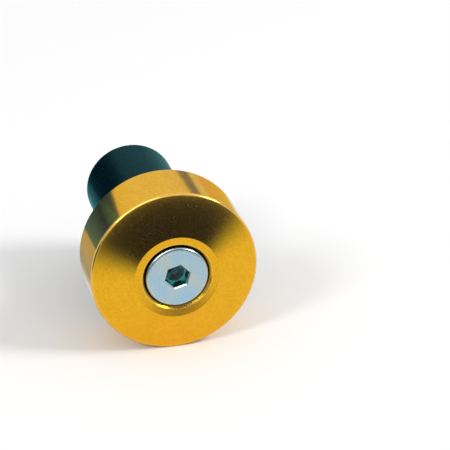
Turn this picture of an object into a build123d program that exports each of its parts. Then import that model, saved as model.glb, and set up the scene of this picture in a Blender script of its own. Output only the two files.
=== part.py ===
"""Bar end weight for a motorcycle handlebar.

A turned weight, a rubber sleeve that plugs into the bar and a cone nut are held on one countersunk screw.
Turning the screw draws the nut towards the weight and spreads the sleeve inside the bar.

Frame: millimetres, origin at the centre of the seat that meets the end of the bar. +Y runs along the axis
into the bar, so the face that is seen looks along -Y, and +Z is up.
"""

import math
import os

from build123d import *

# Weight
weight_radius = 16.0
wall_length = 11.5
cone_rise = 2.5
land_radius = 8.2
land_dish = 0.175
front_edge_radius = 0.5
back_edge_radius = 0.25
countersink_radius = 6.7

# Countersunk screw, M6 with a 90 degree head
thread_radius = 3.0
screw_length = 40.0
head_radius = 6.0
head_sharp_radius = 6.72
head_edge_radius = 0.55
tip_chamfer = 0.6
countersink_angle = 90.0
socket_sides = 6
socket_across_flats = 4.0
socket_depth = 2.5
socket_angle = 15.0
socket_mouth_chamfer = 0.25
drill_radius = 1.9
drill_point_angle = 120.0

# Rubber sleeve
sleeve_radius = 9.1
sleeve_reach = 30.0
sleeve_edge_radius = 0.8
register_depth = 0.8

# Cone nut
nut_length = 10.0
nut_small_radius = 4.75
nut_large_radius = 7.25
nut_edge_chamfer = 0.3
thread_mouth_chamfer = 0.4

# Clearances
shank_clearance = 0.3
sleeve_bore_clearance = 0.25
register_clearance = 0.15
head_seat_clearance = 0.05
thread_clearance = 0.05
nut_seat_clearance = 0.1

# Places along the axis
seat_y = 0.0
rim_y = seat_y - wall_length
land_y = rim_y - cone_rise
mouth_y = land_y + land_dish
register_y = seat_y - register_depth
sleeve_end_y = seat_y + sleeve_reach
nut_end_y = sleeve_end_y
nut_start_y = nut_end_y - nut_length

# Cone slopes, as radius per length of axis
head_slope = math.tan(math.radians(countersink_angle / 2))
nut_slope = (nut_large_radius - nut_small_radius) / nut_length
drill_slope = math.tan(math.radians(drill_point_angle / 2))

# The screw's cone lies parallel to the countersink, a seat clearance inside it
bore_radius = thread_radius + shank_clearance
countersink_end_y = mouth_y + (countersink_radius - bore_radius) / head_slope
seat_shift = head_seat_clearance * math.hypot(1, head_slope) / head_slope
head_y = mouth_y + (countersink_radius - head_sharp_radius) / head_slope - seat_shift
head_edge_y = head_y + (head_sharp_radius - head_radius) / head_slope
head_end_y = head_y + (head_sharp_radius - thread_radius) / head_slope
tip_y = head_y + screw_length
socket_floor_y = head_y + socket_depth
drill_point_y = socket_floor_y + drill_radius / drill_slope

# The sleeve's mouth lies parallel to the nut, a clearance outside it, and tapers down to the bore
sleeve_bore_radius = thread_radius + sleeve_bore_clearance
mouth_radius = nut_large_radius + nut_seat_clearance * math.hypot(1, nut_slope)
taper_end_y = sleeve_end_y - (mouth_radius - sleeve_bore_radius) / nut_slope

os.makedirs("parts", exist_ok=True)

# Weight: one turned piece
with BuildPart() as weight:
    with BuildSketch(Plane.XY):
        with BuildLine():
            Polyline(
                (bore_radius, register_y),
                (sleeve_radius + register_clearance, register_y),
                (sleeve_radius + register_clearance, seat_y),
                (weight_radius, seat_y),
                (weight_radius, rim_y),
                (land_radius, land_y),
                (countersink_radius, mouth_y),
                (bore_radius, countersink_end_y),
                close=True,
            )
        make_face()
    revolve(axis=Axis.Y)
    rims = weight.edges().filter_by(GeomType.CIRCLE).group_by(SortBy.RADIUS)[-1].sort_by(Axis.Y)
    fillet(rims[0], front_edge_radius)
    fillet(rims[-1], back_edge_radius)
weight.part.label = "weight"
export_step(weight.part, "parts/weight.step")

# Clamp screw: turned blank with a hexagon socket that ends in a drill point
with BuildPart() as clamp_screw:
    with BuildSketch(Plane.XY):
        with BuildLine():
            Polyline(
                (0, head_y),
                (head_radius, head_y),
                (head_radius, head_edge_y),
                (thread_radius, head_end_y),
                (thread_radius, tip_y),
                (0, tip_y),
                close=True,
            )
        make_face()
    revolve(axis=Axis.Y)
    ends = clamp_screw.faces().filter_by(Axis.Y).sort_by(Axis.Y)
    fillet(ends[0].edges(), head_edge_radius)
    chamfer(ends[-1].edges(), tip_chamfer)
    with BuildSketch(Plane.XZ.offset(-head_y)):
        RegularPolygon(socket_across_flats / 2, socket_sides, major_radius=False, rotation=socket_angle)
    extrude(amount=-socket_depth, mode=Mode.SUBTRACT)
    head_face = clamp_screw.faces().filter_by(Axis.Y).sort_by(Axis.Y)[0]
    chamfer(head_face.inner_wires().edges(), socket_mouth_chamfer)
    with BuildSketch(Plane.XY):
        with BuildLine():
            Polyline(
                (0, socket_floor_y),
                (drill_radius, socket_floor_y),
                (0, drill_point_y),
                close=True,
            )
        make_face()
    revolve(axis=Axis.Y, mode=Mode.SUBTRACT)
clamp_screw.part.label = "clamp_screw"
export_step(clamp_screw.part, "parts/clamp_screw.step")

# Rubber sleeve: plain outside, bored for the screw and tapered at the far end for the nut
with BuildPart() as rubber_sleeve:
    with BuildSketch(Plane.XY):
        with BuildLine():
            Polyline(
                (sleeve_bore_radius, register_y),
                (sleeve_radius, register_y),
                (sleeve_radius, sleeve_end_y),
                (mouth_radius, sleeve_end_y),
                (sleeve_bore_radius, taper_end_y),
                close=True,
            )
        make_face()
    revolve(axis=Axis.Y)
    outer_edges = rubber_sleeve.edges().filter_by(GeomType.CIRCLE).group_by(SortBy.RADIUS)[-1]
    fillet(outer_edges, sleeve_edge_radius)
rubber_sleeve.part.label = "rubber_sleeve"
export_step(rubber_sleeve.part, "parts/rubber_sleeve.step")

# Expander nut: a cone with the screw's thread through it
with BuildPart() as expander_nut:
    with BuildSketch(Plane.XY):
        with BuildLine():
            Polyline(
                (thread_radius + thread_clearance, nut_start_y),
                (nut_small_radius, nut_start_y),
                (nut_large_radius, nut_end_y),
                (thread_radius + thread_clearance, nut_end_y),
                close=True,
            )
        make_face()
    revolve(axis=Axis.Y)
    nut_ends = expander_nut.faces().filter_by(Axis.Y).sort_by(Axis.Y)
    for end in nut_ends:
        circles = end.edges().sort_by(SortBy.RADIUS)
        chamfer(circles[0], thread_mouth_chamfer)
        chamfer(circles[-1], nut_edge_chamfer)
expander_nut.part.label = "expander_nut"
export_step(expander_nut.part, "parts/expander_nut.step")
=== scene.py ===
"""Bar end weight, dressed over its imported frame.

Four turned pieces share the Y axis: a gold anodised weight, a zinc plated countersunk screw, a rubber sleeve
that plugs into the bar, and a zinc plated cone nut. Sizes are in millimetres, read from the frame where its
boxes give them. Meshes are written in metres, in the frame's own coordinates.
"""

import logging
import math
from dataclasses import dataclass
from enum import Enum
from typing import Any

import bpy
import numpy as np
from bpy.types import Material, Mesh, Node, NodeSocket, NodeTree, Object
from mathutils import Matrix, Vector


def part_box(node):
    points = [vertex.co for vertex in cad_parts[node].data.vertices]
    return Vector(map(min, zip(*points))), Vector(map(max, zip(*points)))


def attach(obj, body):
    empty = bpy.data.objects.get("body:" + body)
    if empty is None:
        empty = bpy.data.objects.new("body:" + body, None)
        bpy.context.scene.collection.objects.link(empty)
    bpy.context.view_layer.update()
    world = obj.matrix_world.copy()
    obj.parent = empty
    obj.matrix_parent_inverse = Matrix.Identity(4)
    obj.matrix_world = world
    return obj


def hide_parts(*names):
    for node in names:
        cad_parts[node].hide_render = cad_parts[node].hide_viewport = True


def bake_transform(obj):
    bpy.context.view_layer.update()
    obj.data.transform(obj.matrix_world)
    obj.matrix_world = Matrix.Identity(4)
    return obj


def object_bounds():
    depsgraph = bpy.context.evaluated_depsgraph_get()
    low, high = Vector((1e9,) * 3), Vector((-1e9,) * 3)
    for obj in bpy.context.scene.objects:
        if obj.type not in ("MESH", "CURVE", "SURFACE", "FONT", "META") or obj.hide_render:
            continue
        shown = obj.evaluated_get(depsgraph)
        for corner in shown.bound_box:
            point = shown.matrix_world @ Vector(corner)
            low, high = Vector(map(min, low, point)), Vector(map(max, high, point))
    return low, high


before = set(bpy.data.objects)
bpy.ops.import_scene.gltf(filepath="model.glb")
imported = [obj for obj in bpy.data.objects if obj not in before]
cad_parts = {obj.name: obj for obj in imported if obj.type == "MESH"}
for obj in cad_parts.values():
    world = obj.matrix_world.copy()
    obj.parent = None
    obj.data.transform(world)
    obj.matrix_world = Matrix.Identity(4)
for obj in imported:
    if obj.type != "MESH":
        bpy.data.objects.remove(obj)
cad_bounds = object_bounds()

MM = 0.001
SHARP_ANGLE = math.radians(16)
ARC_STEP = math.radians(9)
FEWEST_ARC_STEPS = 4
GUARD = 0.04
SIXTH = math.pi / 3.0
NO_FANS = np.empty((0, 3), int)
Array = np.ndarray
Triple = tuple[float, float, float]
Colour = Triple
Spot = tuple[float, float]
log = logging.getLogger("bar_end_weight")


class Body(str, Enum):
    """The bodies that the pieces ride on."""

    WEIGHT = "weight"
    SCREW = "screw"
    NUT = "nut"


class Finish(str, Enum):
    """The record's material slots."""

    GOLD = "gold_anodised_aluminium"
    ZINC = "zinc_plated_steel"
    RUBBER = "black_rubber"


def box_mm(node: str) -> list[list[float]]:
    """Returns a node's lowest and highest corners, in millimetres."""
    return [[float(value) / MM for value in corner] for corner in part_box(node)]


def smoothstep(share: Array) -> Array:
    """Returns 3 s squared minus 2 s cubed, with s held between 0 and 1."""
    held = np.clip(share, 0.0, 1.0)
    return held * held * (3.0 - 2.0 * held)


def angles(columns: int, first: float = 0.0) -> Array:
    """Returns evenly spaced angles round the axis, in radians, from +X towards +Z."""
    return first + np.arange(columns) * (2.0 * math.pi / columns)


def rounded_outline(corners: list[Triple], step: float) -> tuple[Array, Array]:
    """Draws a closed outline whose corners are arcs.

    An arc of radius R in a corner of angle A starts and ends R / tan(A / 2) from the corner. Its points are
    C + (sin((1 - s) T) u + sin(s T) v) / sin(T), where C is its centre, u and v its first and last radius,
    T the turn and s runs from 0 to 1. A guard point beside each end keeps the shading of the straights flat.

    Args:
        corners: radius, place along the axis and corner radius of each corner, in order.
        step: longest spacing of the points along a straight.

    Returns:
        The radius of each point, as a column, and its place along the axis.
    """
    place = np.array([c[:2] for c in corners])
    arcs = []
    for index, (_, _, radius) in enumerate(corners):
        here = place[index]
        if radius == 0.0:
            arcs.append(here[None, :])
            continue
        back = place[index - 1] - here
        ahead = place[(index + 1) % len(corners)] - here
        back = back / np.linalg.norm(back)
        ahead = ahead / np.linalg.norm(ahead)
        half = math.acos(float(np.clip(back @ ahead, -1.0, 1.0))) / 2.0
        reach = radius / math.tan(half)
        bisector = (back + ahead) / np.linalg.norm(back + ahead)
        centre = here + bisector * radius / math.sin(half)
        first = here + back * reach - centre
        last = here + ahead * reach - centre
        turn = math.pi - 2.0 * half
        share = np.linspace(0.0, 1.0, max(FEWEST_ARC_STEPS, math.ceil(turn / ARC_STEP)) + 1)[:, None]
        arc = centre + (np.sin((1.0 - share) * turn) * first + np.sin(share * turn) * last) / math.sin(turn)
        arcs.append(np.vstack([arc[0] + back * GUARD, arc, arc[-1] + ahead * GUARD]))
    runs = []
    for index, arc in enumerate(arcs):
        after = arcs[(index + 1) % len(arcs)][0]
        pieces = max(1, math.ceil(float(np.linalg.norm(after - arc[-1])) / step))
        share = np.linspace(0.0, 1.0, pieces + 1)[1:-1, None]
        runs += [arc, arc[-1] + share * (after - arc[-1])]
    outline = np.vstack(runs)
    return outline[:, :1], outline[:, 1]


@dataclass
class TurnedGrid:
    """A surface round the Y axis: a radius for each row and angle, and a place along the axis for each row.

    A point is (r cos a, y, r sin a). Rows run so that the outside of the metal lies to the right of their
    direction: along +Y on an outer wall, outwards on the front.
    """

    name: str
    radius: Array
    along: Array
    around: Array
    first_pole: float | None = None
    last_pole: float | None = None

    def mesh(self) -> Mesh:
        """Writes the grid as a mesh of quads, with a fan of triangles at each pole.

        Without poles the last row joins the first, which closes a ring.

        Returns:
            The mesh in metres, smooth apart from its sharp edges.
        """
        columns = len(self.around)
        radius = np.broadcast_to(self.radius, (len(self.along), columns))
        along = np.broadcast_to(self.along[:, None], radius.shape)
        points = np.stack([radius * np.cos(self.around), along, radius * np.sin(self.around)], axis=-1)
        rows = len(radius)
        ring = self.first_pole is None
        row = np.arange(rows if ring else rows - 1)[:, None]
        column = np.arange(columns)[None, :]
        beside = (column + 1) % columns
        below = (row + 1) % rows
        quads = np.stack([row * columns + column, below * columns + column,
                          below * columns + beside, row * columns + beside], axis=-1).reshape(-1, 4)
        vertices = points.reshape(-1, 3)
        fans = NO_FANS
        if not ring:
            apex = len(vertices)
            vertices = np.vstack([vertices, [[0.0, self.first_pole, 0.0], [0.0, self.last_pole, 0.0]]])
            here, after = column[0], beside[0]
            end = (rows - 1) * columns
            fans = np.vstack([np.stack([np.full(columns, apex), here, after], axis=-1),
                              np.stack([end + here, np.full(columns, apex + 1), end + after], axis=-1)])
        return written_mesh(self.name, vertices * MM, quads, fans)


def written_mesh(name: str, vertices: Array, quads: Array, fans: Array = NO_FANS) -> Mesh:
    """Writes points, quads and triangles into a new mesh.

    Args:
        name: the mesh's name.
        vertices: points in metres, one row each.
        quads: four point numbers for each quad.
        fans: three point numbers for each triangle.

    Returns:
        The mesh, with smooth faces and its sharp edges marked.
    """
    mesh = bpy.data.meshes.new(name)
    corner_count = np.concatenate([np.full(len(quads), 4), np.full(len(fans), 3)])
    corner_points = np.concatenate([quads.ravel(), fans.ravel()])
    mesh.vertices.add(len(vertices))
    mesh.vertices.foreach_set("co", vertices.astype(np.float32).ravel())
    mesh.loops.add(len(corner_points))
    mesh.loops.foreach_set("vertex_index", corner_points.astype(np.int32))
    mesh.polygons.add(len(corner_count))
    mesh.polygons.foreach_set("loop_start", (np.cumsum(corner_count) - corner_count).astype(np.int32))
    mesh.update(calc_edges=True)
    mesh.validate()
    mesh.shade_smooth()
    mesh.set_sharp_from_angle(angle=SHARP_ANGLE)
    return mesh


def placed_object(data: Any) -> Object:
    """Links a mesh, a light or a camera into the scene as an object at the origin.

    Args:
        data: what the object holds.

    Returns:
        The object, with the same name.
    """
    piece = bpy.data.objects.new(data.name, data)
    bpy.context.scene.collection.objects.link(piece)
    return piece


class NodeSheet:
    """Adds and joins the nodes of one node tree."""

    def __init__(self, tree: NodeTree) -> None:
        """Keeps and empties the tree that the nodes go into."""
        self.tree = tree
        tree.nodes.clear()

    def feed(self, socket: NodeSocket, value: Any) -> None:
        """Links an output to a socket, or sets the socket's own value.

        Args:
            socket: the input to feed.
            value: an output, a number, or a linear colour, which gets full alpha.
        """
        if isinstance(value, NodeSocket):
            self.tree.links.new(value, socket)
        else:
            socket.default_value = (*value, 1.0) if socket.type == "RGBA" else value

    def add(self, kind: str, inputs: dict[str | int, Any] | None = None, **settings: Any) -> Node:
        """Adds one node.

        Args:
            kind: the node's type name.
            inputs: a value or an output for each input, by its name or number.
            settings: the node's own properties.

        Returns:
            The new node.
        """
        node = self.tree.nodes.new(kind)
        for name, value in settings.items():
            setattr(node, name, value)
        for name, value in (inputs or {}).items():
            self.feed(node.inputs[name], value)
        return node

    def calc(self, operation: str, *values: Any, clamp: bool = False) -> NodeSocket:
        """Adds a Math node and returns its output."""
        inputs = dict(enumerate(values))
        return self.add("ShaderNodeMath", inputs, operation=operation, use_clamp=clamp).outputs[0]

    def vector(self, operation: str, *values: Any) -> Node:
        """Adds a Vector Math node and returns it."""
        return self.add("ShaderNodeVectorMath", dict(enumerate(values)), operation=operation)

    def blend(self, share: Any, first: Any, second: Any) -> NodeSocket:
        """Adds a Mix node, whose colours are inputs 6 and 7, and returns its colour."""
        return self.add("ShaderNodeMix", {0: share, 6: first, 7: second}, data_type="RGBA").outputs[2]

    def mean(self, share: Any, first: Any, second: Any) -> NodeSocket:
        """Adds a Mix node, whose values are inputs 2 and 3, and returns its value."""
        return self.add("ShaderNodeMix", {0: share, 2: first, 3: second}, data_type="FLOAT").outputs[0]

    def times(self, first: Any, second: Any) -> NodeSocket:
        """Multiplies two values."""
        return self.calc("MULTIPLY", first, second)

    def weigh(self, first: Any, second: Any, share: float) -> NodeSocket:
        """Adds up a share of the first value and the rest of the second."""
        return self.calc("MULTIPLY_ADD", first, share, self.times(second, 1.0 - share))

    def spread(self, value: Any, low: float, high: float) -> NodeSocket:
        """Carries a value from 0 to 1 over to low to high."""
        return self.calc("MULTIPLY_ADD", value, high - low, low)

    def contrast(self, value: Any, gain: float) -> NodeSocket:
        """Spreads a value away from a half, held between 0 and 1."""
        return self.calc("MULTIPLY_ADD", value, gain, 0.5 - 0.5 * gain, clamp=True)

    def from_axis(self, place: NodeSocket) -> NodeSocket:
        """Distance of a place from the Y axis, in millimetres."""
        flat = self.vector("MULTIPLY", place, (1.0 / MM, 0.0, 1.0 / MM))
        return self.vector("LENGTH", flat.outputs["Vector"]).outputs["Value"]

    def along_axis(self, place: NodeSocket) -> NodeSocket:
        """Where a place lies along the Y axis, in millimetres."""
        return self.times(self.add("ShaderNodeSeparateXYZ", {"Vector": place}).outputs["Y"], 1.0 / MM)


class SurfaceEffects:
    """The node groups that the finishes share."""

    AXIS_SHARE = 0.6
    DETAIL = 3.0
    SMALLEST = 0.4
    FAINTEST = 0.15
    EDGE_GAIN = 2.5

    def __init__(self) -> None:
        """Builds each group once."""
        self.lathe_lines = self._lathe_lines()
        self.grain = self._grain()
        self.specks = self._specks()
        self.ring = self._ring()

    @staticmethod
    def _sheet(name: str, sizes: dict[str, float], output: str) -> tuple[NodeSheet, Any, Any]:
        """Starts a group with a Place input, its sizes and one value as output.

        Args:
            name: the group's name.
            sizes: the name and first value of each number that goes in.
            output: the name of the value that comes out.

        Returns:
            The sheet, what goes into the group and what comes out.
        """
        tree = bpy.data.node_groups.new(name, "ShaderNodeTree")
        tree.interface.new_socket("Place", in_out="INPUT", socket_type="NodeSocketVector")
        for size, value in sizes.items():
            socket = tree.interface.new_socket(size, in_out="INPUT", socket_type="NodeSocketFloat")
            socket.default_value = value
        tree.interface.new_socket(output, in_out="OUTPUT", socket_type="NodeSocketFloat")
        sheet = NodeSheet(tree)
        return sheet, sheet.add("NodeGroupInput").outputs, sheet.add("NodeGroupOutput").inputs

    def _lathe_lines(self) -> NodeTree:
        """Fine rings left by turning: noise along the radius plus a share of the place on the axis.

        Returns:
            The group.
        """
        sheet, given, result = self._sheet("lathe_lines", {"Spacing mm": 0.2}, "Lines")
        radius = sheet.from_axis(given["Place"])
        turned = sheet.calc("MULTIPLY_ADD", sheet.along_axis(given["Place"]), self.AXIS_SHARE, radius)
        rings = sheet.calc("DIVIDE", turned, given["Spacing mm"])
        inputs = {"W": rings, "Scale": 1.0, "Detail": self.DETAIL, "Roughness": 0.6}
        noise = sheet.add("ShaderNodeTexNoise", inputs, noise_dimensions="1D")
        sheet.feed(result["Lines"], noise.outputs["Fac"])
        return sheet.tree

    def _grain(self) -> NodeTree:
        """Noise of a given size, the same in all directions.

        Returns:
            The group.
        """
        sheet, given, result = self._sheet("grain", {"Size mm": 0.1}, "Grain")
        scale = sheet.calc("DIVIDE", 1.0 / MM, given["Size mm"])
        inputs = {"Vector": given["Place"], "Scale": scale, "Detail": self.DETAIL, "Roughness": 0.55}
        noise = sheet.add("ShaderNodeTexNoise", inputs, noise_dimensions="3D")
        sheet.feed(result["Grain"], noise.outputs["Fac"])
        return sheet.tree

    def _specks(self) -> NodeTree:
        """Scattered round spots: one cell in so many holds a spot, and spots differ in size and strength.

        Returns:
            The group.
        """
        sizes = {"Spacing mm": 1.0, "Size mm": 0.1, "Share": 0.5}
        sheet, given, result = self._sheet("specks", sizes, "Mask")
        scale = sheet.calc("DIVIDE", 1.0 / MM, given["Spacing mm"])
        cells = sheet.add("ShaderNodeTexVoronoi", {"Vector": given["Place"], "Scale": scale})
        chance = sheet.add("ShaderNodeSeparateColor", {"Color": cells.outputs["Color"]})
        distance = sheet.times(cells.outputs["Distance"], given["Spacing mm"])
        size = sheet.times(given["Size mm"], sheet.spread(chance.outputs["Green"], self.SMALLEST, 1.0))
        inside = sheet.calc("SUBTRACT", 1.0, sheet.calc("DIVIDE", distance, size), clamp=True)
        edge = sheet.calc("MULTIPLY", inside, self.EDGE_GAIN, clamp=True)
        chosen = sheet.calc("LESS_THAN", chance.outputs["Red"], given["Share"])
        strength = sheet.times(chosen, sheet.spread(chance.outputs["Blue"], self.FAINTEST, 1.0))
        sheet.feed(result["Mask"], sheet.times(edge, strength))
        return sheet.tree

    def _ring(self) -> NodeTree:
        """A ring round the axis: 1 on the circle of a radius at a place, 0 from the width onwards.

        Returns:
            The group.
        """
        sizes = {"Radius mm": 10.0, "Along mm": 0.0, "Width mm": 0.5}
        sheet, given, result = self._sheet("ring", sizes, "Mask")
        out = sheet.calc("SUBTRACT", sheet.from_axis(given["Place"]), given["Radius mm"])
        down = sheet.calc("SUBTRACT", sheet.along_axis(given["Place"]), given["Along mm"])
        away = sheet.calc("SQRT", sheet.calc("MULTIPLY_ADD", out, out, sheet.times(down, down)))
        share = sheet.calc("DIVIDE", away, given["Width mm"])
        sheet.feed(result["Mask"], sheet.calc("SUBTRACT", 1.0, share, clamp=True))
        return sheet.tree


class MaterialSheet(NodeSheet):
    """The nodes of one material, with its Principled shader and Object coordinates."""

    def __init__(self, name: str) -> None:
        """Makes an empty material with an output, a shader and the place on the object.

        Args:
            name: the material's name.
        """
        self.material = bpy.data.materials.new(name)
        self.material.use_nodes = True
        super().__init__(self.material.node_tree)
        self.shader = self.add("ShaderNodeBsdfPrincipled")
        self.add("ShaderNodeOutputMaterial", {"Surface": self.shader.outputs["BSDF"]})
        self.place = self.add("ShaderNodeTexCoord").outputs["Object"]

    def effect(self, group: NodeTree, **sizes: float) -> NodeSocket:
        """Places a shared effect with this material's sizes, with spaces in their names as underscores."""
        inputs = {name.replace("_", " "): value for name, value in sizes.items()}
        return self.add("ShaderNodeGroup", {"Place": self.place, **inputs}, node_tree=group).outputs[0]

    def bump(self, height: NodeSocket, microns: float) -> None:
        """Gives the shader a relief of so many microns."""
        inputs = {"Height": height, "Distance": microns * MM * MM, "Strength": 1.0}
        self.surface(Normal=self.add("ShaderNodeBump", inputs).outputs["Normal"])

    def past(self, value: NodeSocket, start: float, fade: float) -> NodeSocket:
        """Rises from 0 at a start to 1 over a fade."""
        return self.calc("DIVIDE", self.calc("SUBTRACT", value, start), fade, clamp=True)

    def surface(self, **values: Any) -> None:
        """Sets inputs of the shader, with spaces in their names as underscores."""
        for name, value in values.items():
            self.feed(self.shader.inputs[name.replace("_", " ")], value)


@dataclass(frozen=True)
class GoldAnodising:
    """Gold anodising over fine turned aluminium."""

    light: Colour = (0.87, 0.455, 0.004)
    deep: Colour = (0.68, 0.345, 0.001)
    edge: Colour = (0.75, 0.76, 0.55)
    # The paler rim colour and its share are a painted highlight along the rims.
    lighter: Colour = (0.90, 0.66, 0.24)
    rim_highlight_share: float = 0.25
    oxide: float = 0.4
    wall_oxide: float = 0.5
    rim_oxide: float = 1.0
    oxide_roughness: float = 0.45
    dust: Colour = (0.62, 0.52, 0.32)
    dust_cover: float = 0.35
    dust_roughness: float = 0.5
    haze_roughness: float = 0.07
    # The gap colour is painted shade in the countersink round the screw head.
    gap_shade: Colour = (0.03, 0.018, 0.001)
    gap_inset: float = 0.35
    gap_reach: float = 5.0
    smooth: float = 0.17
    rough: float = 0.25
    wall_smooth: float = 0.08
    wall_rough: float = 0.12
    wall_margin: float = 0.25
    ring_relief: float = 0.6

    def material(self, effects: SurfaceEffects, weight: "TurnedWeight") -> Material:
        """Clouded gold with rims painted paler as a highlight line, rings in the gloss, a little dust, and
        painted shade in the countersink's gap.

        Args:
            effects: the shared node groups.
            weight: the piece that wears it, for the places of its rims.

        Returns:
            The material.
        """
        sheet = MaterialSheet(Finish.GOLD.value)
        rings = sheet.effect(effects.lathe_lines, Spacing_mm=0.22)
        grain = sheet.effect(effects.grain, Size_mm=0.45)
        clouds = sheet.effect(effects.grain, Size_mm=4.0)
        dust = sheet.effect(effects.specks, Spacing_mm=1.1, Size_mm=0.12, Share=0.5)
        haze = sheet.effect(effects.specks, Spacing_mm=0.5, Size_mm=0.22, Share=0.6)
        depth = sheet.along_axis(sheet.place)
        reach = sheet.from_axis(sheet.place)
        shade = sheet.weigh(sheet.contrast(clouds, gain=1.5), sheet.contrast(grain, gain=2.8), share=0.4)
        colour = sheet.blend(shade, self.deep, self.light)
        # Painted highlight: the front, back and hole rims are painted paler, as a thin light line that makes
        # highlights on them look cream.
        rim = 0.0
        for radius, along, width in weight.rims():
            mask = sheet.effect(effects.ring, Radius_mm=radius, Along_mm=along, Width_mm=width)
            rim = sheet.calc("MAXIMUM", rim, mask)
        colour = sheet.blend(sheet.times(rim, self.rim_highlight_share), colour, self.lighter)
        colour = sheet.blend(sheet.times(dust, self.dust_cover), colour, self.dust)
        # Painted shade: the countersink darkens next to the screw head, where its gap lies in shade.
        painted_gap_shade = sheet.past(reach, start=weight.countersink_radius - self.gap_inset, fade=-0.25)
        painted_gap_shade = sheet.times(sheet.calc("LESS_THAN", depth, weight.land_y + self.gap_reach), painted_gap_shade)
        colour = sheet.blend(painted_gap_shade, colour, self.gap_shade)
        streak = sheet.weigh(rings, grain, share=0.7)
        wall = sheet.calc("GREATER_THAN", reach, weight.radius - self.wall_margin)
        face_gloss = sheet.spread(streak, self.smooth, self.rough)
        wall_gloss = sheet.spread(streak, self.wall_smooth, self.wall_rough)
        gloss = sheet.mean(wall, face_gloss, wall_gloss)
        gloss = sheet.calc("MULTIPLY_ADD", haze, self.haze_roughness, gloss)
        gloss = sheet.calc("MAXIMUM", gloss, sheet.times(dust, self.dust_roughness))
        sheet.surface(Base_Color=colour, Metallic=1.0, Roughness=gloss, Specular_Tint=self.edge)
        oxide = sheet.mean(rim, sheet.spread(wall, self.oxide, self.wall_oxide), self.rim_oxide)
        sheet.surface(Coat_Weight=oxide, Coat_Roughness=self.oxide_roughness)
        sheet.bump(sheet.calc("MULTIPLY_ADD", rings, self.ring_relief, grain), microns=0.8)
        return sheet.material


@dataclass(frozen=True)
class ZincPlating:
    """Bright zinc plating with a bluish passivation, clouded and lightly pitted."""

    blue: Colour = (0.36, 0.56, 0.69)
    straw: Colour = (0.50, 0.57, 0.55)
    pit: Colour = (0.10, 0.12, 0.14)
    # The socket colour is painted shade, teal for the socket's shaded inside; the drill colour is darker
    # painted shade at its bottom.
    socket: Colour = (0.20, 0.60, 0.56)
    drill: Colour = (0.05, 0.08, 0.09)
    # The flank colour is painted shade on the head's flank, inside the countersink's gap.
    flank: Colour = (0.04, 0.045, 0.04)
    flank_shade_start: float = 0.3
    flank_shade_end: float = 2.0
    smooth: float = 0.20
    rough: float = 0.36
    patch_gain: float = 2.6
    grain_gain: float = 0.8
    pit_cover: float = 0.7
    pit_relief: float = -4.0
    ring_relief: float = 0.4
    margin: float = 0.02

    def material(self, effects: SurfaceEffects, screw: "ClampScrew") -> Material:
        """Patches of blue and straw, dark pits, a socket painted teal as shade and darker at its drill
        point, and painted shade on the head's flank.

        Args:
            effects: the shared node groups.
            screw: the screw that wears it, for the place of its socket.

        Returns:
            The material.
        """
        sheet = MaterialSheet(Finish.ZINC.value)
        patches = sheet.effect(effects.grain, Size_mm=3.2)
        grain = sheet.effect(effects.grain, Size_mm=0.25)
        rings = sheet.effect(effects.lathe_lines, Spacing_mm=0.3)
        pits = sheet.effect(effects.specks, Spacing_mm=2.2, Size_mm=0.16, Share=0.3)
        clouded = sheet.calc("MULTIPLY_ADD", sheet.calc("SUBTRACT", patches, 0.5), self.patch_gain, 0.5)
        grained = sheet.calc("SUBTRACT", grain, 0.5)
        clouded = sheet.calc("MULTIPLY_ADD", grained, self.grain_gain, clouded, clamp=True)
        colour = sheet.blend(clouded, self.blue, self.straw)
        depth = sheet.along_axis(sheet.place)
        reach = sheet.from_axis(sheet.place)
        # Painted shade: the socket's inside is painted teal and its drill point darker.
        corner = screw.socket_width / math.sqrt(3.0)
        lip_y = screw.head_y + screw.socket_lip[0][1]
        inside = sheet.times(sheet.calc("LESS_THAN", depth, screw.point_y + self.margin),
                             sheet.calc("LESS_THAN", reach, corner + self.margin))
        socket = sheet.times(sheet.past(depth, start=lip_y, fade=0.3), inside)
        drill = sheet.times(socket, sheet.calc("LESS_THAN", reach, screw.drill_radius + self.margin))
        # Painted shade: the head's flank below its rim is darkened, where the countersink's gap lies in
        # shade.
        outside = sheet.times(sheet.calc("LESS_THAN", depth, screw.head_y + self.flank_shade_end),
                              sheet.calc("GREATER_THAN", reach, screw.socket_width))
        flank = sheet.times(sheet.past(depth, start=screw.head_y + self.flank_shade_start, fade=0.2), outside)
        pitted = sheet.times(pits, self.pit_cover)
        layers = [(socket, self.socket), (drill, self.drill), (flank, self.flank), (pitted, self.pit)]
        for mask, over in layers:
            colour = sheet.blend(mask, colour, over)
        gloss = sheet.weigh(rings, grain, share=0.4)
        roughness = sheet.spread(gloss, self.smooth, self.rough)
        sheet.surface(Base_Color=colour, Metallic=1.0, Roughness=roughness)
        relief = sheet.calc("MULTIPLY_ADD", rings, self.ring_relief, grain)
        sheet.bump(sheet.calc("MULTIPLY_ADD", pits, self.pit_relief, relief), microns=1.5)
        return sheet.material


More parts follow.
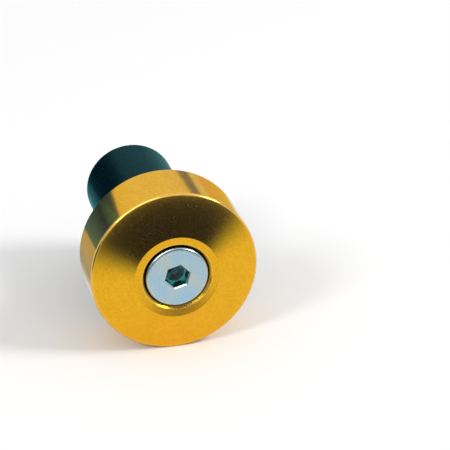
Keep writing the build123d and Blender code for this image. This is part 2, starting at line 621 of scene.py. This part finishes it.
@dataclass(frozen=True)
class SleeveRubber:
    """Moulded black rubber with a blue-green cast, matte, with pale dust on it."""

    black: Colour = (0.0015, 0.005, 0.007)
    lighter: Colour = (0.004, 0.010, 0.012)
    film: Colour = (0.52, 0.92, 0.96)
    film_ior: float = 1.02
    film_roughness: float = 0.27
    dust: Colour = (0.10, 0.128, 0.132)
    smooth: float = 0.19
    rough: float = 0.35
    specular: float = 0.06
    fine_cover: float = 0.35

    def material(self, effects: SurfaceEffects) -> Material:
        """Faint worn clouds, a fine moulded skin, and dust in two sizes.

        Args:
            effects: the shared node groups.

        Returns:
            The material.
        """
        sheet = MaterialSheet(Finish.RUBBER.value)
        clouds = sheet.effect(effects.grain, Size_mm=2.5)
        skin = sheet.effect(effects.grain, Size_mm=0.32)
        fine = sheet.effect(effects.specks, Spacing_mm=0.7, Size_mm=0.18, Share=0.4)
        coarse = sheet.effect(effects.specks, Spacing_mm=1.7, Size_mm=0.28, Share=0.6)
        dust = sheet.calc("MAXIMUM", sheet.times(fine, self.fine_cover), coarse)
        colour = sheet.blend(sheet.contrast(clouds, gain=1.6), self.black, self.lighter)
        colour = sheet.blend(dust, colour, self.dust)
        sheet.surface(Base_Color=colour, Roughness=sheet.spread(skin, self.smooth, self.rough))
        sheet.surface(Specular_IOR_Level=self.specular, Coat_Weight=1.0, Coat_IOR=self.film_ior)
        sheet.surface(Coat_Tint=self.film, Coat_Roughness=self.film_roughness)
        sheet.bump(skin, microns=12.0)
        return sheet.material


def dressed(piece: Object, node: str, finish: Finish, material: Material) -> None:
    """Gives a piece its material, hides the frame's node that it stands for, and logs its finish.

    Args:
        piece: the finished piece.
        node: the frame's node that it replaces.
        finish: the record's slot that it takes its finish from.
        material: the material that it wears.
    """
    piece.data.materials.append(material)
    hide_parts(node)
    log.info("%s: %d faces, %s", piece.name, len(piece.data.polygons), finish.value)


@dataclass
class TurnedWeight:
    """The weight: a short drum with a shallow cone face, a dished land and a countersink for the screw."""

    radius: float
    land_y: float
    seat_y: float
    cone_rise: float = 2.5
    land_radius: float = 8.2
    land_dish: float = 0.175
    countersink_radius: float = 6.7
    bore_radius: float = 3.3
    register_radius: float = 9.25
    register_depth: float = 0.8
    front_edge_radius: float = 0.5
    back_edge_radius: float = 0.25
    land_edge_radius: float = 0.22
    mouth_edge_radius: float = 0.10
    register_edge_radius: float = 0.1
    rim_insets: Triple = (0.1, 0.05, 0.03)
    rim_widths: Triple = (0.6, 0.35, 0.22)
    outline_step: float = 1.5
    columns: int = 320

    @classmethod
    def from_frame(cls) -> "TurnedWeight":
        """Reads the drum's radius and length from its node."""
        low, high = box_mm("weight")
        return cls(radius=high[0], land_y=low[1], seat_y=high[1])

    def build(self) -> Object:
        """Turns the section: bore, countersink, land, cone, wall, seat and register, in that order.

        Returns:
            The weight.
        """
        mouth_y = self.land_y + self.land_dish
        corners = [
            (self.bore_radius, mouth_y + self.countersink_radius - self.bore_radius, 0.0),
            (self.countersink_radius, mouth_y, self.mouth_edge_radius),
            (self.land_radius, self.land_y, self.land_edge_radius),
            (self.radius, self.land_y + self.cone_rise, self.front_edge_radius),
            (self.radius, self.seat_y, self.back_edge_radius),
            (self.register_radius, self.seat_y, self.register_edge_radius),
            (self.register_radius, self.seat_y - self.register_depth, 0.0),
            (self.bore_radius, self.seat_y - self.register_depth, 0.0),
        ]
        radius, along = rounded_outline(corners, self.outline_step)
        grid = TurnedGrid("gold_weight", radius, along, angles(self.columns))
        return placed_object(grid.mesh())

    def rims(self) -> list[Triple]:
        """Lists the rims that are painted paler as a highlight line: front, back and hole.

        Returns:
            Radius, place along the axis and width of each.
        """
        front, back, hole = self.rim_insets
        places = [
            (self.radius - front, self.land_y + self.cone_rise + front),
            (self.radius, self.seat_y - back),
            (self.countersink_radius + hole, self.land_y + self.land_dish),
        ]
        return [(*place, width) for place, width in zip(places, self.rim_widths)]

    def dress(self, piece: Object, material: Material) -> None:
        """Finishes the weight and fixes it to its body."""
        dressed(piece, "weight", Finish.GOLD, material)
        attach(piece, Body.WEIGHT.value)


@dataclass(frozen=True)
class Thread:
    """A right-hand metric thread whose groove is a softened triangle."""

    crest_radius: float = 3.0
    pitch: float = 1.0
    depth: float = 0.6
    crest_end: float = 0.125
    root_start: float = 0.75
    rows_per_turn: int = 14

    def rows(self, start: float, end: float) -> Array:
        """Returns places along the axis, so many for each turn."""
        return np.linspace(start, end, max(2, round(abs(end - start) / self.pitch * self.rows_per_turn)) + 1)

    def groove(self, along: Array, around: Array) -> Array:
        """Depth of the groove below the crest.

        The phase is y / pitch + a / 360 degrees, so the crest climbs clockwise as seen from the head. The
        distance from the nearest crest, from 0 to 1, is cut off where the flat crest ends and where the root
        starts, and smoothed.

        Args:
            along: places along the axis.
            around: angles round the axis.

        Returns:
            The depth for each row and angle.
        """
        phase = along[:, None] / self.pitch + around[None, :] / (2.0 * math.pi)
        from_crest = 1.0 - np.abs(2.0 * (phase % 1.0) - 1.0)
        flank = (from_crest - self.crest_end) / (self.root_start - self.crest_end)
        return self.depth * smoothstep(flank)


@dataclass
class ClampScrew:
    """The countersunk screw: hexagon socket with a drill point, 90 degree head, plain neck and thread."""

    head_y: float
    tip_y: float
    head_radius: float
    thread: Thread
    head_sharp_radius: float = 6.72
    head_edge_radius: float = 0.55
    socket_width: float = 4.0
    socket_depth: float = 2.5
    socket_lip: tuple[Spot, ...] = ((0.0, 0.35), (0.015, 0.31), (0.25, 0.03), (0.30, 0.0))
    socket_angle: float = 15.0
    drill_radius: float = 1.9
    drill_point_angle: float = 120.0
    thread_length: float = 24.0
    tip_chamfer: float = 0.6
    face_row: float = 3.4
    edge_rows: int = 11
    neck_fillet: float = 0.2
    neck_run: float = 0.25
    columns: int = 144

    @classmethod
    def from_frame(cls, thread: Thread) -> "ClampScrew":
        """Reads the head's radius and the screw's ends from its node."""
        low, high = box_mm("clamp_screw")
        return cls(head_y=low[1], tip_y=high[1], head_radius=high[0], thread=thread)

    def hexagon(self, around: Array, half_width: Array) -> Array:
        """Radius of a hexagon: half its width over the cosine of the angle from a flat's middle."""
        turned = (around - math.radians(self.socket_angle)) % SIXTH
        return half_width / np.cos(turned - SIXTH / 2.0)

    def build(self) -> Object:
        """Carries rows from the drill point out of the socket, over the head and down the thread.

        The thread's radius is its crest less its groove, which fades in over one turn, or the tip's chamfer
        where that is less.

        Returns:
            The screw.
        """
        around = angles(self.columns, math.radians(self.socket_angle))
        once = np.ones(self.columns)
        thread_y = self.tip_y - self.thread_length
        crest = self.thread.crest_radius
        flat_radius = self.head_radius - self.head_edge_radius
        turn = np.linspace(0.0, math.pi / 2.0, self.edge_rows)
        cone_y = self.head_y + self.head_sharp_radius - self.head_radius
        neck_y = self.head_y + self.head_sharp_radius - crest
        lip_width, lip_depth = np.array(self.socket_lip).T
        half_width = self.socket_width / 2.0 + np.concatenate([[0.0], lip_width])
        point_radius = np.array([self.drill_radius / 2.0, self.drill_radius])
        point_along = np.array([(self.point_y + self.floor_y) / 2.0, self.floor_y])
        face_radius = np.array([self.face_row, flat_radius - GUARD])
        face_along = np.full(len(face_radius), self.head_y)
        edge_radius = flat_radius + self.head_edge_radius * np.sin(turn)
        edge_along = self.head_y + self.head_edge_radius * (1.0 - np.cos(turn))
        neck_radius = np.array([self.head_radius, self.head_radius, crest + self.neck_fillet, crest, crest])
        neck_along = np.array([cone_y - GUARD, cone_y, neck_y - self.neck_fillet, neck_y + self.neck_run,
                               (neck_y + thread_y) / 2.0])
        head_radius = np.concatenate([face_radius, edge_radius, neck_radius])
        thread_along = self.thread.rows(thread_y, self.tip_y)
        fade = smoothstep((thread_along - thread_y) / self.thread.pitch)[:, None]
        chamfer = crest - np.clip(thread_along - (self.tip_y - self.tip_chamfer), 0.0, None)[:, None]
        thread_radius = np.minimum(crest - fade * self.thread.groove(thread_along, around), chamfer)
        radius = np.vstack([point_radius[:, None] * once, self.hexagon(around, half_width[:, None]),
                            head_radius[:, None] * once, thread_radius])
        along = np.concatenate([point_along, [self.floor_y], self.head_y + lip_depth, face_along, edge_along,
                                neck_along, thread_along])
        grid = TurnedGrid("clamp_screw_threaded", radius, along, around, self.point_y, self.tip_y)
        return placed_object(grid.mesh())

    @property
    def floor_y(self) -> float:
        """Place along the axis where the hexagon ends."""
        return self.head_y + self.socket_depth

    @property
    def point_y(self) -> float:
        """Place along the axis of the drill point."""
        return self.floor_y + self.drill_radius / math.tan(math.radians(self.drill_point_angle / 2.0))

    def dress(self, piece: Object, material: Material) -> None:
        """Finishes the screw and fixes it to its body."""
        dressed(piece, "clamp_screw", Finish.ZINC, material)
        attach(piece, Body.SCREW.value)


@dataclass
class RubberSleeve:
    """The rubber sleeve: a plain tube with rounded ends, tapered inside its far end for the nut."""

    radius: float
    register_y: float
    end_y: float
    nut_y: float
    bore_radius: float = 3.25
    mouth_radius: float = 7.353
    taper: float = 0.25
    edge_radius: float = 0.8
    mouth_edge_radius: float = 0.2
    held_y: float = 2.0
    outline_step: float = 0.8
    columns: int = 192

    @classmethod
    def from_frame(cls) -> "RubberSleeve":
        """Reads the sleeve's radius and ends from its node, and where the nut starts from the nut's.

        Returns:
            The sleeve.
        """
        low, high = box_mm("rubber_sleeve")
        nut_low, _ = box_mm("expander_nut")
        return cls(radius=high[0], register_y=low[1], end_y=high[1], nut_y=nut_low[1])

    def build(self) -> Object:
        """Turns the section: front end, outside, far end, taper and bore, in that order.

        Returns:
            The sleeve.
        """
        taper_y = self.end_y - (self.mouth_radius - self.bore_radius) / self.taper
        corners = [
            (self.bore_radius, self.register_y, 0.0),
            (self.radius, self.register_y, self.edge_radius),
            (self.radius, self.end_y, self.edge_radius),
            (self.mouth_radius, self.end_y, self.mouth_edge_radius),
            (self.bore_radius, taper_y, 0.0),
        ]
        radius, along = rounded_outline(corners, self.outline_step)
        grid = TurnedGrid("rubber_sleeve_moulded", radius, along, angles(self.columns))
        return placed_object(grid.mesh())

    def dress(self, piece: Object, material: Material) -> None:
        """Finishes the sleeve, which sits against the weight with the nut in its far end, and bakes its
        placement into its mesh.
        """
        dressed(piece, "rubber_sleeve", Finish.RUBBER, material)
        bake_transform(piece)


@dataclass
class ExpanderNut:
    """The cone nut, with the screw's thread through it."""

    start_y: float
    end_y: float
    thread: Thread
    small_radius: float = 4.75
    large_radius: float = 7.25
    edge_chamfer: float = 0.3
    mouth_chamfer: float = 0.4
    thread_clearance: float = 0.06
    columns: int = 144

    @classmethod
    def from_frame(cls, thread: Thread) -> "ExpanderNut":
        """Reads the nut's ends from its node."""
        low, high = box_mm("expander_nut")
        return cls(start_y=low[1], end_y=high[1], thread=thread)

    def build(self) -> Object:
        """Carries rows over the small end, up the cone, over the large end and back through the thread.

        Returns:
            The nut.
        """
        around = angles(self.columns)
        hole = self.thread.crest_radius + self.thread_clearance
        slope = (self.large_radius - self.small_radius) / (self.end_y - self.start_y)
        cut = self.edge_chamfer
        outside = np.array([
            (hole + self.mouth_chamfer, self.start_y),
            (self.small_radius - cut, self.start_y),
            (self.small_radius + slope * cut, self.start_y + cut),
            (self.large_radius - slope * cut, self.end_y - cut),
            (self.large_radius - cut, self.end_y),
            (hole + self.mouth_chamfer, self.end_y),
        ])
        inside_y = self.thread.rows(self.end_y, self.start_y)[1:-1]
        from_end = np.minimum(self.end_y - inside_y, inside_y - self.start_y)[:, None]
        opened = hole + self.mouth_chamfer - from_end
        inside = np.maximum(hole - self.thread.groove(inside_y, around), opened)
        radius = np.vstack([np.repeat(outside[:, :1], self.columns, axis=1), inside])
        along = np.concatenate([outside[:, 1], inside_y])
        return placed_object(TurnedGrid("cone_nut_threaded", radius, along, around).mesh())

    def dress(self, piece: Object, material: Material) -> None:
        """Finishes the nut and fixes it to its body."""
        dressed(piece, "expander_nut", Finish.ZINC, material)
        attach(piece, Body.NUT.value)


@dataclass(frozen=True)
class GlossCard:
    """A card that only reflections see: a grid of points, each with its x, y and z in metres and its glow.

    A glow of 0 has the tint's colour and a glow of 1 the full colour.
    """

    name: str
    points: Array
    tint: Colour = (1.0, 1.0, 1.0)
    full: Colour = (1.0, 1.0, 1.0)

    @classmethod
    def upright(cls, name: str, posts: tuple[Spot, Spot], rows: list[Spot], soft: float = 0.0,
                tint: Colour = (1.0, 1.0, 1.0)) -> "GlossCard":
        """Stands a card of one tint between two posts.

        Args:
            name: the card's name.
            posts: x and y of its two upright edges.
            rows: height and glow of each row, from the bottom up.
            soft: the share of its width over which each upright edge fades to white.
            tint: the colour of its glow.

        Returns:
            The card.
        """
        share = np.array([0.0, soft, 1.0 - soft, 1.0] if soft else [0.0, 1.0])
        rise = np.array([1.0, 0.0, 0.0, 1.0] if soft else [0.0, 0.0])
        height, glow = np.array(rows).T[..., None]
        first, last = np.array(posts)
        x, y = first[:, None] + (last - first)[:, None] * share
        points = np.stack(np.broadcast_arrays(x, y, height, glow + rise * (1.0 - glow)), axis=-1)
        return cls(name, points, tint, cls.full if soft else tint)

    def build(self) -> Object:
        """Joins the points with quads and writes the glow as an attribute of the points.

        Returns:
            The card, seen by glossy rays alone.
        """
        rows, columns = self.points.shape[:2]
        here = (np.arange(rows - 1)[:, None] * columns + np.arange(columns - 1)[None, :]).ravel()
        quads = np.column_stack([here, here + 1, here + 1 + columns, here + columns])
        mesh = written_mesh(self.name, self.points[..., :3].reshape(-1, 3), quads)
        glow = mesh.attributes.new("glow", "FLOAT", "POINT")
        glow.data.foreach_set("value", self.points[..., 3].astype(np.float32).ravel())
        mesh.materials.append(self.paper())
        card = placed_object(mesh)
        for ray in ("camera", "diffuse", "transmission", "volume_scatter", "shadow"):
            setattr(card, f"visible_{ray}", False)
        return card

    def paper(self) -> Material:
        """Makes tinted paper that glows as its points say.

        Returns:
            The material.
        """
        paper = bpy.data.materials.new(self.name)
        paper.use_nodes = True
        sheet = NodeSheet(paper.node_tree)
        glow = sheet.add("ShaderNodeAttribute", attribute_name="glow").outputs["Fac"]
        tint = sheet.blend(glow, self.tint, self.full)
        light = sheet.add("ShaderNodeEmission", {"Color": tint, "Strength": glow})
        sheet.add("ShaderNodeOutputMaterial", {"Surface": light.outputs["Emission"]})
        return paper


@dataclass
class Studio:
    """White surroundings, a pale floor, cards for the pieces to mirror, two softboxes and the camera."""

    floor_z: float
    weight: TurnedWeight
    near_y: float = -0.026
    arch_angles: Spot = (19.0, 177.0)
    arch_radii: Spot = (6.0, 18.6)
    arch_rows: int = 9
    arch_columns: int = 25
    arch_tint: Colour = (0.9, 1.2, 1.9)
    arch_glow: float = 0.008
    arch_fade: float = 0.19
    arch_top_fade: float = 2.4
    strip_ends: tuple[Spot, Spot] = ((-1.28, 1.20), (-0.10, 1.75))
    strip_width: Spot = (-1.10, -0.60)
    strip_glow: float = 5.5
    ground_across: tuple[Spot, ...] = ((-0.10, 1.0), (-0.07, 0.7), (-0.03, 0.65), (-0.022, 0.5),
                                       (-0.012, 1.0))
    ground_back: tuple[Spot, ...] = ((0.0, 1.0), (0.02, 0.5), (0.085, 0.5))
    ground_lift: float = 0.0004
    ambient: float = 0.66
    softboxes: tuple[tuple[str, Triple, float, float], ...] = (
        ("right_softbox", (1.44, -0.58, 1.26), 0.56, 19.0),
        ("left_softbox", (-1.28, -0.94, 1.20), 0.46, 16.0),
    )
    floor_colour: Colour = (0.92, 0.92, 0.92)
    floor_x: float = 0.6
    floor_front: float = -0.6
    floor_split: float = -0.022
    floor_back: float = 0.6
    camera_place: Triple = (-0.06746, -0.31132, 0.15536)
    camera_azimuth: float = -14.441
    camera_elevation: float = 25.369
    lens: float = 146.68
    sensor: float = 36.0
    clip_start: float = 0.01

    @classmethod
    def from_frame(cls, weight: TurnedWeight) -> "Studio":
        """Lays the floor under the lowest point of the part."""
        return cls(floor_z=float(cad_bounds[0][2]), weight=weight)

    def build(self) -> None:
        """Sets up everything round the part."""
        bpy.context.scene.view_settings.view_transform = "Standard"
        self.world()
        self.floor()
        self.cards()
        self.lamps()
        self.camera()

    def world(self) -> None:
        """White where it is seen, reflected or looked through, and dimmer as light on the part."""
        world = bpy.data.worlds.new("white_room")
        world.use_nodes = True
        sheet = NodeSheet(world.node_tree)
        ray = sheet.add("ShaderNodeLightPath")
        seen = sheet.calc("MAXIMUM", ray.outputs["Is Camera Ray"], ray.outputs["Is Glossy Ray"])
        seen = sheet.calc("MAXIMUM", seen, ray.outputs["Is Transmission Ray"])
        strength = sheet.spread(seen, self.ambient, 1.0)
        sky = sheet.add("ShaderNodeBackground", {"Color": (1.0, 1.0, 1.0), "Strength": strength})
        sheet.add("ShaderNodeOutputWorld", {"Surface": sky.outputs["Background"]})
        bpy.context.scene.world = world

    def floor(self) -> None:
        """Lays a pale matte floor under the part; reflections leave out the strip in front."""
        paper = MaterialSheet("floor_paper")
        paper.surface(Base_Color=self.floor_colour, Roughness=1.0, Specular_IOR_Level=0.0)
        x, z = self.floor_x, self.floor_z
        strips = [("floor", self.floor_split, self.floor_back),
                  ("floor_front", self.floor_front, self.floor_split)]
        for name, start, end in strips:
            corners = np.array([(-x, start, z), (x, start, z), (x, end, z), (-x, end, z)])
            sheet = placed_object(written_mesh(name, corners, np.array([[0, 1, 2, 3]])))
            sheet.data.materials.append(paper.material)
            sheet.visible_glossy = name == "floor"

    def cards(self) -> None:
        """Sets up the cards that the metal and the rubber mirror."""
        low = self.floor_z
        white = 1.0
        side_rows = [(0.35, white), (0.6, 0.35), (1.0, 0.5), (1.5, white)]
        upright = GlossCard.upright
        cards = [
            self.cone_card(),
            self.floor_shade_card(),
            self.strip_card(),
            upright("side_card_left", ((-1.8, -0.3), (-1.8, 1.4)), side_rows),
            upright("side_card_right", ((1.8, -0.3), (1.8, 1.4)), side_rows),
            upright("left_front_card", ((-0.9, -1.6), (-1.8, 0.1)),
                    [(-0.6, white), (-0.4, 0.02), (0.15, 0.02), (0.4, white)], soft=0.2),
            upright("left_card", ((-0.072, 0.085), (-0.052, 0.085)),
                    [(low, 0.27), (0.0, 0.16), (0.018, 0.02), (0.031, 0.2), (0.040, 0.30)],
                    tint=(0.33, 1.0, 3.5)),
            upright("sleeve_card", ((-0.064, 0.086), (-0.012, 0.086)),
                    [(low, 0.12), (0.004, 0.03), (0.018, 0.0), (0.031, 0.04), (0.040, 0.1)],
                    soft=0.23, tint=(0.25, 0.85, 1.2)),
            upright("sleeve_right_card", ((0.019, 0.069), (0.036, 0.069)),
                    [(low, white), (0.026, white)], tint=(1.15, 0.85, 0.78)),
            upright("right_low_card", ((0.030, 0.070), (0.064, 0.070)),
                    [(low, white), (0.0227, white)], tint=(1.0, 0.68, 0.04)),
            upright("right_card", ((0.25, 0.8), (0.50, 0.8)), [(0.188, 0.22), (0.28, 0.22)]),
            upright("land_card", ((-0.35, -2.4), (1.3, -2.4)),
                    [(-0.74, 0.05), (-0.30, 0.05), (0.0, white)]),
        ]
        for card in cards:
            card.build()

    def cone_card(self) -> GlossCard:
        """A dark arch close to the face, which the camera sees mirrored in the upper part of the cone.

        A camera ray c that meets the cone at p, where its normal is n, leaves along d = c - 2 (c . n) n. The
        arch holds the points p + s d that lie in its own plane.

        Returns:
            The card.
        """
        weight = self.weight
        share = np.linspace(0.0, 1.0, self.arch_columns)
        around = np.radians(np.interp(share, (0.0, 1.0), self.arch_angles))[None, :]
        radius = np.linspace(*self.arch_radii, self.arch_rows)[:, None]
        slope = weight.cone_rise / (weight.radius - weight.land_radius)
        along = weight.land_y + slope * (radius - weight.land_radius)
        x, z = np.cos(around), np.sin(around)
        place = np.stack(np.broadcast_arrays(radius * x, along, radius * z), axis=-1) * MM
        normal = np.stack(np.broadcast_arrays(slope * x, -1.0, slope * z), axis=-1) / math.hypot(1.0, slope)
        ray = place - np.array(self.camera_place)
        leaves = ray - 2.0 * np.sum(ray * normal, axis=-1, keepdims=True) * normal
        points = place + leaves * (self.near_y - place[..., 1:2]) / leaves[..., 1:2]
        ends = smoothstep(np.minimum(share, 1.0 - share) / self.arch_fade)[None, :]
        top = smoothstep((self.arch_radii[1] - radius) / self.arch_top_fade)
        glow = (1.0 + (self.arch_glow - 1.0) * ends * top)[..., None]
        return GlossCard("cone_card", np.concatenate([points, glow], axis=-1), tint=self.arch_tint)

    def strip_card(self) -> GlossCard:
        """A long bright strip above the front left, which rounded edges mirror as a white line."""
        points = [[(x, y, z, self.strip_glow) for x, z in self.strip_ends] for y in self.strip_width]
        return GlossCard("strip_card", np.array(points))

    def floor_shade_card(self) -> GlossCard:
        """A dim patch on the floor behind the weight, to its left, which fades out at its edges: painted
        shade, standing for the floor's shade there as reflections see it.

        Returns:
            The card.
        """
        z = self.floor_z + self.ground_lift
        points = [[(x, y, z, max(glow, edge)) for x, glow in self.ground_across]
                  for y, edge in self.ground_back]
        return GlossCard("floor_shade_card", np.array(points))

    def lamps(self) -> None:
        """Hangs square lights aimed at the part, with a power of pi times area times radiance."""
        for name, place, size, radiance in self.softboxes:
            light = bpy.data.lights.new(name, "AREA")
            light.shape = "SQUARE"
            light.size = size
            light.energy = math.pi * size ** 2 * radiance
            lamp = placed_object(light)
            lamp.location = place
            lamp.rotation_euler = lamp.location.to_track_quat("Z", "Y").to_euler()

    def camera(self) -> None:
        """A long lens at the photograph's viewing angle."""
        lens = bpy.data.cameras.new("camera")
        lens.lens = self.lens
        lens.sensor_width = self.sensor
        lens.clip_start = self.clip_start
        camera = placed_object(lens)
        camera.location = self.camera_place
        tilt = math.radians(90.0 - self.camera_elevation)
        camera.rotation_euler = (tilt, 0.0, math.radians(self.camera_azimuth))
        bpy.context.scene.camera = camera


def main() -> None:
    """Builds and dresses the pieces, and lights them."""
    logging.basicConfig(level=logging.INFO)
    effects = SurfaceEffects()
    weight = TurnedWeight.from_frame()
    gold = GoldAnodising().material(effects, weight)
    thread = Thread()
    screw = ClampScrew.from_frame(thread)
    zinc = ZincPlating().material(effects, screw)
    rubber = SleeveRubber().material(effects)
    pieces = [
        (weight, gold),
        (screw, zinc),
        (RubberSleeve.from_frame(), rubber),
        (ExpanderNut.from_frame(thread), zinc),
    ]
    for part, material in pieces:
        part.dress(part.build(), material)
    Studio.from_frame(weight).build()


if __name__ == "__main__":
    main()
